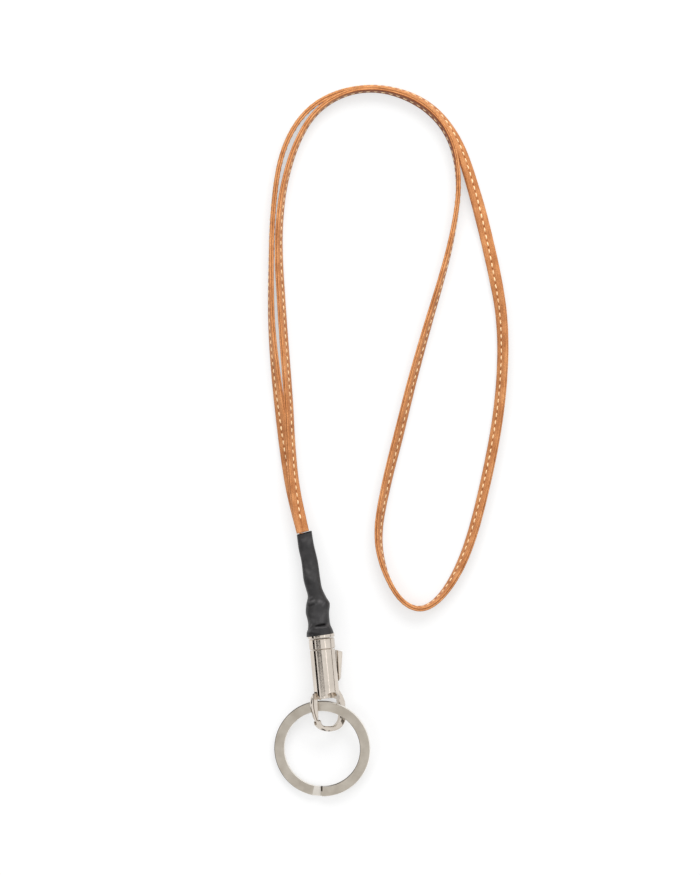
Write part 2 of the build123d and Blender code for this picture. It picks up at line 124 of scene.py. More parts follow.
# Millimetres that the belt hangs off its line, to the left as it travels, by millimetres along.
LEAN = [
    (0, -1.24), (12, -0.8), (24, -0.62), (48, -0.5), (61, -0.4), (83, 0.0), (108, -0.19),
    (133, 0.13), (150, 0.4), (168, 0.2), (180, -0.2), (192, -0.7), (215, -0.95), (239, -0.75),
    (263, -0.6), (287, -0.36), (312, 0.0), (336, -0.07), (360, -0.24), (385, -0.7), (420, -0.78),
    (444, -0.75), (468, -0.35), (492, -0.5), (516, -0.25), (540, 0.4), (565, 0.5), (588, 0.05),
    (612, -0.1), (624, -0.46), (636, -1.0), (648, -1.7), (660, -2.3), (672, -2.9), (696, -2.9),
    (708, -2.0), (720, -1.45), (745, -1.2), (769, -0.65), (791, -0.45), (816, -0.25),
    (840, -0.9), (852, -1.2), (864, -1.27),
]
# Millimetres that the belt is lifted off the table, where it goes up to the sleeve's mouth.
LIFT = [
    (0, 0.95), (8, 0.6), (20, 0.15), (40, 0.0), (805, 0.0), (815, 0.1), (828, 0.4), (840, 0.9),
    (850, 1.5), (857, 2.2), (864, 2.85),
]


def read_table(table, at):
    """Reads a table of distances and values at one distance, in straight lines between rows."""
    for (a, low), (b, high) in zip(table, table[1:]):
        if at <= b:
            share = max(0.0, (at - a) / (b - a))
            return low + (high - low) * share
    return table[-1][1]


def smooth_table(table, at, reach):
    """The same, averaged over a short length each way."""
    return sum(read_table(table, at + reach * k / 4) for k in range(-4, 5)) / 9


def add_mesh(name, points, faces, smooth=True):
    """Makes a mesh object from points and faces."""
    mesh = bpy.data.meshes.new(name)
    mesh.from_pydata(points, [], faces)
    mesh.polygons.foreach_set("use_smooth", [smooth] * len(mesh.polygons))
    mesh.update()
    piece = bpy.data.objects.new(name, mesh)
    bpy.context.scene.collection.objects.link(piece)
    return piece


def skin_faces(rings, around, closed_ends=True):
    """Faces between rings of points, with the ends closed."""
    faces = []
    for i in range(rings - 1):
        for k in range(around):
            n = (k + 1) % around
            faces.append((i * around + k, i * around + n, (i + 1) * around + n, (i + 1) * around + k))
    if closed_ends:
        faces.append(tuple(reversed(range(around))))
        faces.append(tuple(range((rings - 1) * around, rings * around)))
    return faces


def spline_points(route, height):
    """The points along one smooth spline whose control points are the route."""
    line = bpy.data.curves.new("strap_line", "CURVE")
    line.dimensions = "3D"
    line.resolution_u = 16
    spline = line.splines.new("NURBS")
    spline.points.add(len(route) - 1)
    for point, (x, y) in zip(spline.points, route):
        point.co = (x, y, height, 1.0)
    spline.order_u = 3
    spline.use_endpoint_u = True
    holder = bpy.data.objects.new("strap_line", line)
    bpy.context.scene.collection.objects.link(holder)
    bpy.context.view_layer.update()
    evaluated = holder.evaluated_get(bpy.context.evaluated_depsgraph_get())
    mesh = bpy.data.meshes.new_from_object(evaluated)
    points = [v.co.copy() for v in mesh.vertices]
    bpy.data.objects.remove(holder)
    bpy.data.meshes.remove(mesh)
    return points


def even_points(points, step):
    """Points at even distances along a line, with the line's length."""
    lengths = [0.0]
    for a, b in zip(points, points[1:]):
        lengths.append(lengths[-1] + (b - a).length)
    count = int(lengths[-1] / step)
    out = []
    i = 0
    for k in range(count + 1):
        s = lengths[-1] * k / count
        while i < len(points) - 2 and lengths[i + 1] < s:
            i += 1
        share = (s - lengths[i]) / max(1e-9, lengths[i + 1] - lengths[i])
        out.append(points[i].lerp(points[i + 1], share))
    return out, lengths[-1]


# Millimetres each way that the tables are averaged over, and frames each way for the direction.
EVEN_TURN = 5
EVEN_LEAN = 5
EVEN_LIFT = 3
TRAVEL_OVER = 3


def strap_frames(step):
    """Distance, middle, direction, width direction and face direction, all along the strap."""
    line, total = even_points(spline_points(ROUTE, STRAP_WIDTH / 2), step)
    frames = []
    for k, point in enumerate(line):
        ahead = line[min(k + TRAVEL_OVER, len(line) - 1)]
        behind = line[max(k - TRAVEL_OVER, 0)]
        travel = (ahead - behind).normalized()
        left = Vector((-travel.y, travel.x, 0))
        s = total * k / (len(line) - 1)
        mm = s * 1000
        turn = math.radians(smooth_table(TURN, mm, EVEN_TURN))
        width = Vector((0, 0, math.cos(turn))) + left * math.sin(turn)
        face = left * math.cos(turn) - Vector((0, 0, math.sin(turn)))
        rest = STRAP_WIDTH / 2 * abs(math.cos(turn)) + PLY * abs(math.sin(turn))
        middle = point + left * smooth_table(LEAN, mm, EVEN_LEAN) / 1000
        middle.z = rest + smooth_table(LIFT, mm, EVEN_LIFT) / 1000
        frames.append((s, middle, travel, width, face))
    return frames


def belt_outline():
    """The belt's cross-section: across its width and through its two plies, in millimetres."""
    quarter = [
        (0.0, 0.80),
        (0.30, 0.83),
        (0.55, 0.90),
        (1.2, 0.93),
        (1.9, 0.90),
        (2.22, 0.82),
        (2.40, 0.68),
        (2.48, 0.45),
        (2.46, 0.22),
        (2.36, 0.07),
        (2.22, 0.0),
    ]
    right = quarter + [(w, -n) for w, n in reversed(quarter[:-1])]
    left = [(-w, n) for w, n in reversed(right[1:-1])]
    return right + left


# The edges waver a little, and the belt is a little wider in some places than in others.
FRAME_STEP = 0.0004
EDGE_WAVE = 0.035
WIDTH_WAVE = 0.02
EDGE_FROM = 2.2
FACE_FROM = 0.7
frames = strap_frames(FRAME_STEP)
outline = belt_outline()
points = []
inside = []
for s, middle, travel, width, face in frames:
    for w, n in outline:
        wave = noise.noise(Vector((s * 260, w * 0.6, n * 2 + 7))) * EDGE_WAVE
        swell = 1 + noise.noise(Vector((s * 55, 3.1, 0))) * WIDTH_WAVE
        across = (w * swell + wave * (abs(w) > EDGE_FROM)) / 1000
        deep = (n + math.copysign(wave, n) * (abs(n) > FACE_FROM)) / 1000
        points.append(middle + width * across + face * deep)
        inside.append((s * 1000, w, n))
strap = add_mesh("strap_belt", points, skin_faces(len(frames), len(outline)))
places = strap.data.attributes.new("belt_place", "FLOAT_VECTOR", "POINT")
places.data.foreach_set("vector", [c for place in inside for c in place])
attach(strap, "strap")
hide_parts("strap_face_ply", "strap_back_ply")


# Stitching: a cream waxed thread down the middle of both faces, which holds the two plies
# together. Each stitch is a short fat length of it, pulled into the leather at both ends.
STITCH_START = 0.0012
STITCH_PITCH = 0.00285
STITCH_LENGTH = 0.0019
STITCH_R = 0.00030
STITCH_SKEW = 0.00022
STITCH_FAT = 0.25
STITCH_SINK = 0.00028
STITCH_RISE = 0.00026
STITCH_SIDES = 8
STITCH_RINGS = 7
STITCH_CLEAR = 0.003


def add_stitch(points, faces, frames, start, side):
    """Adds one stitch, a short fat thread that dips into the leather at both ends."""
    step = frames[1][0] - frames[0][0]
    first = len(points)
    skew = noise.noise(Vector((start * 900, side * 5.0, 1.5))) * STITCH_SKEW
    fat = 1 + noise.noise(Vector((start * 1300, side * 9.0, 4.5))) * STITCH_FAT
    for i in range(STITCH_RINGS):
        share = i / (STITCH_RINGS - 1)
        s = start + STITCH_LENGTH * share
        k = min(int(s / step), len(frames) - 2)
        a, b = frames[k], frames[k + 1]
        t = (s - a[0]) / step
        middle = a[1].lerp(b[1], t)
        width, face = a[3], a[4] * side
        bulge = math.sin(math.pi * share)
        r = STITCH_R * fat * (0.45 + 0.55 * bulge ** 0.6)
        lift = PLY - STITCH_SINK + STITCH_RISE * bulge ** 0.7
        centre = middle + face * lift + width * skew * (2 * share - 1)
        for n in range(STITCH_SIDES):
            turn = 2 * math.pi * n / STITCH_SIDES
            points.append(centre + width * r * math.cos(turn) + face * r * 0.8 * math.sin(turn))
    for i in range(STITCH_RINGS - 1):
        for n in range(STITCH_SIDES):
            m = (n + 1) % STITCH_SIDES
            low, high = first + i * STITCH_SIDES, first + (i + 1) * STITCH_SIDES
            faces.append((low + n, low + m, high + m, high + n))
    faces.append(tuple(first + n for n in reversed(range(STITCH_SIDES))))
    last = first + (STITCH_RINGS - 1) * STITCH_SIDES
    faces.append(tuple(last + n for n in range(STITCH_SIDES)))


points = []
faces = []
belt_end = frames[-1][0]
for k in range(int((belt_end - STITCH_CLEAR) / STITCH_PITCH)):
    start = STITCH_START + k * STITCH_PITCH
    for side in (-1, 1):
        add_stitch(points, faces, frames, start, side)
stitching = add_mesh("strap_stitching", points, faces)
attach(stitching, "strap")


def new_material(name):
    """An empty node material with a principled shader, and its nodes and links."""
    material = bpy.data.materials.new(name)
    material.use_nodes = True
    nodes, links = material.node_tree.nodes, material.node_tree.links
    return material, nodes, links, nodes["Principled BSDF"]


def add_noise(nodes, links, vector, scale, detail=4.0, rough=0.55):
    """A noise texture on a vector output."""
    texture = nodes.new("ShaderNodeTexNoise")
    texture.inputs["Scale"].default_value = scale
    texture.inputs["Detail"].default_value = detail
    texture.inputs["Roughness"].default_value = rough
    links.new(vector, texture.inputs["Vector"])
    return texture.outputs["Fac"]


def add_ramp(nodes, links, value, stops):
    """A colour ramp on a value, from pairs of place and colour."""
    ramp = nodes.new("ShaderNodeValToRGB")
    elements = ramp.color_ramp.elements
    while len(elements) < len(stops):
        elements.new(0.5)
    for element, (place, colour) in zip(elements, stops):
        element.position = place
        element.color = (*colour, 1.0)
    links.new(value, ramp.inputs["Fac"])
    return ramp.outputs["Color"]


def add_mix(nodes, links, mode, share, first, second):
    """Mixes two colours. The share is a number or an output."""
    mix = nodes.new("ShaderNodeMix")
    mix.data_type = "RGBA"
    mix.blend_type = mode
    if isinstance(share, (int, float)):
        mix.inputs["Factor"].default_value = share
    else:
        links.new(share, mix.inputs["Factor"])
    for value, socket in ((first, mix.inputs[6]), (second, mix.inputs[7])):
        if isinstance(value, tuple):
            socket.default_value = (*value, 1.0)
        else:
            links.new(value, socket)
    return mix.outputs[2]


def add_math(nodes, links, operation, first, second=0.0):
    """A sum, product or other operation on two numbers or outputs."""
    node = nodes.new("ShaderNodeMath")
    node.operation = operation
    for value, socket in ((first, node.inputs[0]), (second, node.inputs[1])):
        if isinstance(value, (int, float)):
            socket.default_value = value
        else:
            links.new(value, socket)
    return node.outputs[0]


def add_bump(nodes, links, height, strength, distance, before=None):
    """A bump from a height output, on top of another bump if there is one."""
    bump = nodes.new("ShaderNodeBump")
    bump.inputs["Strength"].default_value = strength
    bump.inputs["Distance"].default_value = distance
    links.new(height, bump.inputs["Height"])
    if before is not None:
        links.new(before, bump.inputs["Normal"])
    return bump.outputs["Normal"]


HOLE_AT = STITCH_START + STITCH_LENGTH + (STITCH_PITCH - STITCH_LENGTH) / 2
UNCHANGED = (1, 1, 1)
# Colour that paints shade on the strap's inner face round the arch.
INNER_FACE_PAINTED_SHADE = (0.45, 0.31, 0.22)


def tan_leather():
    """Tan waxed leather: lighter patches, fine pores, a dark glue line, needle holes, pale worn
    edges, and painted shade that darkens the inner face round the arch."""
    material, nodes, links, shader = new_material("tan_leather")
    place = nodes.new("ShaderNodeAttribute")
    place.attribute_name = "belt_place"
    split = nodes.new("ShaderNodeSeparateXYZ")
    links.new(place.outputs["Vector"], split.inputs[0])
    patches = add_noise(nodes, links, place.outputs["Vector"], 0.16, 3.0)
    colour = add_ramp(
        nodes,
        links,
        patches,
        [(0.3, (0.48, 0.19, 0.062)), (0.5, (0.60, 0.262, 0.098)), (0.72, (0.70, 0.34, 0.142))],
    )
    grain = add_noise(nodes, links, place.outputs["Vector"], 2.2, 6.0, 0.7)
    fine = add_ramp(nodes, links, grain, [(0.34, (0.60, 0.50, 0.42)), (0.60, (1.10, 1.08, 1.06))])
    colour = add_mix(nodes, links, "MULTIPLY", 0.85, colour, fine)
    stretched = nodes.new("ShaderNodeMapping")
    stretched.inputs["Scale"].default_value = (0.12, 1.6, 1.6)
    links.new(place.outputs["Vector"], stretched.inputs["Vector"])
    streaks = add_noise(nodes, links, stretched.outputs["Vector"], 1.5, 4.0, 0.6)
    pulled = add_ramp(
        nodes, links, streaks, [(0.36, (0.74, 0.66, 0.58)), (0.58, (1.04, 1.04, 1.03))]
    )
    colour = add_mix(nodes, links, "MULTIPLY", 0.75, colour, pulled)
    through = add_math(nodes, links, "ABSOLUTE", split.outputs["Z"])
    glue = add_ramp(
        nodes,
        links,
        through,
        [
            (0.0, (0.34, 0.20, 0.13)),
            (0.2, UNCHANGED),
            (0.62, UNCHANGED),
            (0.72, (0.82, 0.74, 0.66)),
            (0.86, (0.97, 0.96, 0.95)),
        ],
    )
    colour = add_mix(nodes, links, "MULTIPLY", 1.0, colour, glue)
    across = add_math(nodes, links, "ABSOLUTE", split.outputs["Y"])
    step = add_math(nodes, links, "DIVIDE", split.outputs["X"], STITCH_PITCH * 1000)
    step = add_math(nodes, links, "SUBTRACT", step, (HOLE_AT / STITCH_PITCH) % 1)
    step = add_math(nodes, links, "PINGPONG", step, 0.5)
    off_line = add_math(nodes, links, "MULTIPLY", across, 0.28)
    hole = add_math(nodes, links, "MAXIMUM", step, off_line)
    holes = add_ramp(nodes, links, hole, [(0.05, (0.70, 0.58, 0.45)), (0.15, UNCHANGED)])
    colour = add_mix(nodes, links, "MULTIPLY", 1.0, colour, holes)
    wear_and_painted_light = add_math(nodes, links, "MULTIPLY", across, 0.4)
    rim = add_ramp(
        nodes,
        links,
        wear_and_painted_light,
        [(0.0, (0.93, 0.9, 0.87)), (0.35, UNCHANGED), (0.86, UNCHANGED), (0.97, (1.12, 1.16, 1.2))],
    )
    colour = add_mix(nodes, links, "MULTIPLY", 1.0, colour, rim)
    along = add_math(nodes, links, "DIVIDE", split.outputs["X"], 1000.0)
    # Painted shade: the inner face is darker along the arch, where it is turned away from the light.
    inner_face_painted_shade = add_ramp(
        nodes,
        links,
        along,
        [(0.61, UNCHANGED), (0.63, INNER_FACE_PAINTED_SHADE), (0.675, INNER_FACE_PAINTED_SHADE), (0.70, UNCHANGED)],
    )
    inner_face = add_math(nodes, links, "LESS_THAN", split.outputs["Z"], -0.45)
    colour = add_mix(nodes, links, "MULTIPLY", inner_face, colour, inner_face_painted_shade)
    links.new(colour, shader.inputs["Base Color"])
    shader.inputs["Roughness"].default_value = 0.52
    shader.inputs["Specular IOR Level"].default_value = 0.35
    pores = add_noise(nodes, links, place.outputs["Vector"], 3.5, 5.0, 0.65)
    normal = add_bump(nodes, links, pores, 0.35, 0.0002)
    links.new(normal, shader.inputs["Normal"])
    return material


def waxed_thread():
    """Cream waxed thread with a fine twist."""
    material, nodes, links, shader = new_material("waxed_thread")
    where = nodes.new("ShaderNodeTexCoord").outputs["Object"]
    tone = add_noise(nodes, links, where, 900.0, 3.0)
    colour = add_ramp(nodes, links, tone, [(0.3, (0.85, 0.56, 0.30)), (0.7, (0.98, 0.76, 0.47))])
    links.new(colour, shader.inputs["Base Color"])
    shader.inputs["Roughness"].default_value = 0.6
    return material


strap.data.materials.append(tan_leather())
stitching.data.materials.append(waxed_thread())


# Folded end of the strap: the length of the belt inside the sleeve, where it goes round the
# swivel's bar and comes back on itself. Almost all of it is hidden.
FOLD_WIDTH = 0.0040
FOLD_PLY = 0.95
# Middle of the fold and half the gap between its two lengths, in metres, down to the bar.
FOLD_STOPS = [
    (0.00100, 0.0518, 0.0028, 0.00090),
    (0.00145, 0.0470, 0.0031, 0.00100),
    (0.00190, 0.0380, 0.0038, 0.00120),
    (0.00275, 0.0300, 0.0046, 0.00145),
    (0.00370, 0.0255, 0.0052, 0.00165),
    (0.00375, 0.0202, 0.0053, 0.00165),
]
FOLD_STEPS = 12


def plain_leather():
    """The same leather inside the sleeve, where its place along the belt isn't needed."""
    material, nodes, links, shader = new_material("fold_leather")
    where = nodes.new("ShaderNodeTexCoord").outputs["Object"]
    tone = add_noise(nodes, links, where, 400.0, 5.0)
    colour = add_ramp(nodes, links, tone, [(0.3, (0.42, 0.16, 0.05)), (0.7, (0.6, 0.26, 0.09))])
    links.new(colour, shader.inputs["Base Color"])
    shader.inputs["Roughness"].default_value = 0.55
    links.new(add_bump(nodes, links, tone, 0.3, 0.0002), shader.inputs["Normal"])
    return material


def fold_line():
    """Points and thickness directions round the fold, from one cut end to the other."""
    down = [(Vector((x, y, z + gap)), Vector((0, 0, 1))) for x, y, z, gap in FOLD_STOPS]
    back = [(Vector((x, y, z - gap)), Vector((0, 0, -1))) for x, y, z, gap in FOLD_STOPS]
    x, y, z, gap = FOLD_STOPS[-1]
    turn = []
    for k in range(1, FOLD_STEPS):
        a = math.pi * k / FOLD_STEPS
        out = Vector((0, -math.sin(a), math.cos(a)))
        turn.append((Vector((x, y, z)) + out * gap, out))
    return down + turn + back[::-1]


points = []
for middle, out in fold_line():
    side = Vector((FOLD_WIDTH / 2, 0, 0))
    half = out * PLY * FOLD_PLY
    points += [middle - side - half, middle + side - half, middle + side + half, middle - side + half]
fold = add_mesh("strap_fold_ends", points, skin_faces(len(points) // 4, 4), False)
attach(fold, "strap")
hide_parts("strap_fold")
fold.data.materials.append(plain_leather())


# Sleeve: a soft tube of black skin drawn over the fold and the swivel's bow. It is flat at the
# mouth, where the strap comes out, swells over the bow's two shoulders and creases above the disc.
SLEEVE_WALL = 0.0005
SLEEVE_AROUND = 72
SLEEVE_RINGS = 120
# Left edge, right edge, middle height and half height at stations down the sleeve, millimetres.
SLEEVE_STATIONS = [
    ((-2.02, 51.28), (3.99, 52.31), 2.81, 2.36),
    ((-1.86, 45.89), (4.37, 46.53), 3.21, 2.52),
    ((-1.21, 40.27), (5.26, 40.10), 3.64, 2.69),
    ((-1.06, 33.49), (5.58, 33.51), 4.29, 3.14),
    ((-0.49, 29.86), (5.92, 29.48), 4.71, 3.47),
    ((-0.01, 26.63), (7.22, 25.78), 5.11, 3.90),
    ((-0.90, 23.54), (8.39, 23.08), 5.30, 4.15),
    ((-1.40, 20.40), (7.80, 19.55), 5.30, 4.25),
    ((-1.05, 17.79), (7.70, 16.97), 5.30, 4.24),
    ((-0.90, 15.59), (7.84, 14.76), 5.30, 4.21),
    ((-1.25, 13.63), (8.34, 13.32), 5.30, 4.65),
    ((-1.76, 12.49), (8.63, 12.30), 5.30, 5.15),
    ((-2.00, 10.72), (8.86, 11.29), 5.30, 5.58),
]
# Creases pressed into the skin: two ends in the plan, depth, half width, all in millimetres.
SLEEVE_CREASES = [
    ((2.6, 15.0), (7.4, 15.4), 0.42, 0.34),
    ((3.4, 14.0), (8.0, 13.9), -0.22, 0.42),
    ((-0.6, 13.3), (1.2, 15.4), 0.26, 0.30),
    ((-1.2, 14.2), (0.3, 16.6), -0.16, 0.45),
    ((0.2, 11.8), (1.6, 13.6), 0.20, 0.30),
    ((0.2, 23.2), (3.4, 24.2), 0.30, 0.55),
    ((1.0, 25.4), (4.6, 25.9), -0.22, 0.7),
    ((4.2, 24.2), (7.0, 22.4), 0.16, 0.6),
    ((-0.4, 19.0), (4.0, 18.6), 0.14, 0.8),
    ((-0.6, 30.4), (3.2, 31.8), 0.10, 0.7),
]
CREASE_GAIN = 1.5
# Painted highlights on the skin, and painted shade in its creases: two ends, amount and half width.
SLEEVE_PAINTED_LIGHT = [
    ((0.6, 24.6), (2.4, 24.9), 0.9, 0.45),
    ((0.4, 23.0), (2.2, 23.5), -0.6, 0.4),
    ((4.3, 24.6), (5.4, 24.0), 0.7, 0.6),
    ((5.6, 22.6), (6.4, 23.6), 0.5, 0.4),
    ((0.4, 25.8), (1.6, 26.4), 0.4, 0.4),
    ((2.2, 14.9), (5.6, 15.1), -0.9, 0.35),
    ((1.8, 14.1), (6.2, 14.0), 0.55, 0.3),
    ((6.6, 14.6), (7.6, 15.6), 0.5, 0.4),
    ((-0.8, 13.4), (0.4, 15.6), 0.45, 0.35),
    ((-1.2, 12.2), (3.0, 11.6), -0.4, 0.5),
    ((0.6, 49.0), (3.6, 49.2), 0.2, 0.8),
    ((-0.4, 44.0), (1.2, 34.0), 0.16, 0.9),
    ((2.2, 20.0), (5.0, 18.6), 0.22, 1.4),
]
# Painted shade: the skin is darker round the rim of the mouth, on the inside and down the two sides.
MOUTH_PAINTED_SHADE = 0.9
MOUTH_SHARE = 0.008
INSIDE_PAINTED_SHADE = 0.5
SIDE_PAINTED_SHADE = 0.35
SIDE_FROM = 0.86


def blend_stations(stations, share):
    """A station between the given ones, on a smooth curve through them."""
    at = share * (len(stations) - 1)
    i = min(int(at), len(stations) - 2)
    t = at - i
    rows = [stations[max(0, min(len(stations) - 1, i + k))] for k in (-1, 0, 1, 2)]
    flat = [[*row[0], *row[1], row[2], row[3]] for row in rows]
    out = []
    for p, a, b, q in zip(*flat):
        square = (2 * p - 5 * a + 4 * b - q) * t * t
        cube = (3 * a - p - 3 * b + q) * t ** 3
        out.append(0.5 * (2 * a + (b - p) * t + square + cube))
    return out


def crease_depth(x, y):
    """How far the skin is pressed in at a place in the plan, in millimetres."""
    depth = 0.0
    for (ax, ay), (bx, by), deep, half in SLEEVE_CREASES:
        length = math.hypot(bx - ax, by - ay)
        along = ((x - ax) * (bx - ax) + (y - ay) * (by - ay)) / length
        off = ((x - ax) * (by - ay) - (y - ay) * (bx - ax)) / length
        near_end = min(max(along / length * 4 + 0.5, 0), 1)
        far_end = min(max((1 - along / length) * 4 + 0.5, 0), 1)
        depth += CREASE_GAIN * deep * math.exp(-((off / half) ** 2)) * (near_end * far_end)
    return depth


def painted_light_at(x, y):
    """How much painted highlight, or painted shade where below nought, the skin has at a place."""
    painted_light = 0.0
    for (ax, ay), (bx, by), amount, half in SLEEVE_PAINTED_LIGHT:
        length = math.hypot(bx - ax, by - ay)
        along = ((x - ax) * (bx - ax) + (y - ay) * (by - ay)) / length
        along = min(max(along, 0.0), length)
        off_x = x - ax - along * (bx - ax) / length
        off_y = y - ay - along * (by - ay) / length
        off = math.hypot(off_x, off_y)
        painted_light += amount * math.exp(-((off / half) ** 2))
    return painted_light


def sleeve_point(share, turn, inset):
    """A point of the sleeve's skin, by its share of the way down and its angle round."""
    lx, ly, rx, ry, mid, half = blend_stations(SLEEVE_STATIONS, share)
    power = 2.0 / (2.9 - 0.5 * share)
    c = math.copysign(abs(math.cos(turn)) ** power, math.cos(turn))
    d = math.copysign(abs(math.sin(turn)) ** power, math.sin(turn))
    reach = math.hypot(rx - lx, ry - ly) / 2
    scale = 1 - inset / reach
    x = (lx + rx) / 2 + (rx - lx) / 2 * c * scale
    y = (ly + ry) / 2 + (ry - ly) / 2 * c * scale
    pressed = crease_depth(x, y) * max(0.0, d) ** 0.7
    pressed += crease_depth(-x + 7, y - 0.8) * max(0.0, -d) ** 0.7
    rumple = noise.noise(Vector((x * 0.45, y * 0.38, d * 1.5 + 5))) * 0.16
    rumple += noise.noise(Vector((x * 1.3, y * 1.1, d * 2 + 9))) * 0.045
    z = mid + d * (half - inset - pressed + rumple * min(1, share * 6))
    return Vector((x, y, max(z, 0.1))) / 1000


points = []
painted_light_values = []
for inset in (0.0, SLEEVE_WALL * 1000):
    for i in range(SLEEVE_RINGS):
        share = i / (SLEEVE_RINGS - 1)
        # Painted shade round the mouth, on the inside and down the sides is subtracted from the painted
        # highlights.
        mouth = MOUTH_PAINTED_SHADE * math.exp(-((share / MOUTH_SHARE) ** 2))
        for k in range(SLEEVE_AROUND):
            turn = 2 * math.pi * k / SLEEVE_AROUND
            point = sleeve_point(share, turn, inset)
            points.append(point)
            side = SIDE_PAINTED_SHADE * max(0.0, abs(math.cos(turn)) - SIDE_FROM) / (1 - SIDE_FROM)
            painted_light = painted_light_at(point.x * 1000, point.y * 1000)
            painted_light_values.append(painted_light - mouth - INSIDE_PAINTED_SHADE * (inset > 0) - side)
outer = skin_faces(SLEEVE_RINGS, SLEEVE_AROUND, False)
inner_start = SLEEVE_RINGS * SLEEVE_AROUND
foot = (SLEEVE_RINGS - 1) * SLEEVE_AROUND
faces = [tuple(reversed(face)) for face in outer]
faces += [tuple(v + inner_start for v in face) for face in outer]
for k in range(SLEEVE_AROUND):
    n = (k + 1) % SLEEVE_AROUND
    faces.append((k, n, n + inner_start, k + inner_start))
    faces.append((foot + n, foot + k, foot + k + inner_start, foot + n + inner_start))
sleeve = add_mesh("black_sleeve", points, faces)
sleeve.data.attributes.new("painted_light", "FLOAT", "POINT").data.foreach_set("value", painted_light_values)
soften = sleeve.modifiers.new("soften", "SUBSURF")
soften.levels = soften.render_levels = 1
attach(sleeve, "strap")
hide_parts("sleeve")


def black_skin():
    """Charcoal skin with a fine grain; painted highlights make it lighter and shinier, painted shade
    darker.
    """
    material, nodes, links, shader = new_material("black_skin")
    where = nodes.new("ShaderNodeTexCoord").outputs["Object"]
    rubbed = add_noise(nodes, links, where, 260.0, 5.0)
    colour = add_ramp(
        nodes,
        links,
        rubbed,
        [(0.3, (0.008, 0.0072, 0.0078)), (0.55, (0.018, 0.0168, 0.0175)), (0.75, (0.040, 0.038, 0.039))],
    )
    painted_light = nodes.new("ShaderNodeAttribute")
    painted_light.attribute_name = "painted_light"
    share = add_math(nodes, links, "MULTIPLY", painted_light.outputs["Fac"], 0.5)
    share = add_math(nodes, links, "ADD", share, 0.5)
    # Painted highlights lift the colour where the attribute is above nought, and painted shade darkens it
    # below.
    wear_and_painted_light = add_ramp(
        nodes, links, share, [(0.05, (0.30, 0.30, 0.30)), (0.5, UNCHANGED), (0.95, (3.4, 3.3, 3.3))]
    )
    colour = add_mix(nodes, links, "MULTIPLY", 1.0, colour, wear_and_painted_light)
    links.new(colour, shader.inputs["Base Color"])
    shader.inputs["Roughness"].default_value = 0.45
    # The painted highlights also raise the specular level.
    sheen = add_ramp(nodes, links, share, [(0.12, (0, 0, 0)), (0.5, (0.5, 0.5, 0.5)), (0.95, (1, 1, 1))])
    links.new(sheen, shader.inputs["Specular IOR Level"])
    grain = add_noise(nodes, links, where, 4200.0, 4.0, 0.6)
    wear_and_painted_light = add_bump(nodes, links, grain, 0.35, 0.00012)
    links.new(add_bump(nodes, links, rubbed, 0.3, 0.0004, wear_and_painted_light), shader.inputs["Normal"])
    return material


sleeve.data.materials.append(black_skin())


# Swivel eye, barrel's cap and hook: castings with polished nickel plate. The plate is bright and a
# little warm, its edges are worn soft, and the casting under it is never quite even.
PLATE_ROUGH = 0.11
PLATE_EDGE = 0.00018


def set_material(node, material):
    """Gives a carried-over piece its one material."""
    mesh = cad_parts[node].data
    mesh.materials.clear()
    mesh.materials.append(material)


def plated(name, colour, roughness, edge):
    """Polished plate with softened edges, faint unevenness and small wear marks."""
    material, nodes, links, shader = new_material(name)
    where = nodes.new("ShaderNodeTexCoord").outputs["Object"]
    tone = add_noise(nodes, links, where, 180.0, 4.0)
    dark = tuple(c * 0.86 for c in colour)
    links.new(
        add_ramp(nodes, links, tone, [(0.3, dark), (0.62, colour)]), shader.inputs["Base Color"]
    )
    shader.inputs["Metallic"].default_value = 1.0
    wear = add_noise(nodes, links, where, 700.0, 6.0, 0.7)
    rough = nodes.new("ShaderNodeMapRange")
    rough.inputs["To Min"].default_value = roughness * 0.7
    rough.inputs["To Max"].default_value = roughness * 1.5
    links.new(wear, rough.inputs["Value"])
    links.new(rough.outputs["Result"], shader.inputs["Roughness"])
    soft = nodes.new("ShaderNodeBevel")
    soft.samples = 6
    soft.inputs["Radius"].default_value = edge
    uneven = add_noise(nodes, links, where, 320.0, 3.0)
    cast = add_bump(nodes, links, uneven, 0.05, 0.0003, soft.outputs["Normal"])
    links.new(add_bump(nodes, links, wear, 0.03, 0.00006, cast), shader.inputs["Normal"])
    return material


nickel = plated("nickel_plate", (0.70, 0.63, 0.555), PLATE_ROUGH, PLATE_EDGE)
for node in ("swivel_eye", "barrel_cap", "hook_body"):
    set_material(node, nickel)


# Lever: one casting with the same plate, on a pin through the hook. Its blade, which closes the
# hook, is ground to two flat facets that meet along a curved ridge.
HOOK_ROLL = math.radians(29)
BARREL_X = 0.0038
BARREL_Z = 0.0053
RIDGE_ASIDE = 0.00675
RIDGE_FROM = BARREL_X * math.cos(HOOK_ROLL) - BARREL_Z * math.sin(HOOK_ROLL) - RIDGE_ASIDE
RIDGE_MIDDLE = -0.0168
RIDGE_BEND = 32.0
BLADE_FROM = -0.0095
FACET_WIDTH = 0.0026
FACET_SLOPE = -0.15


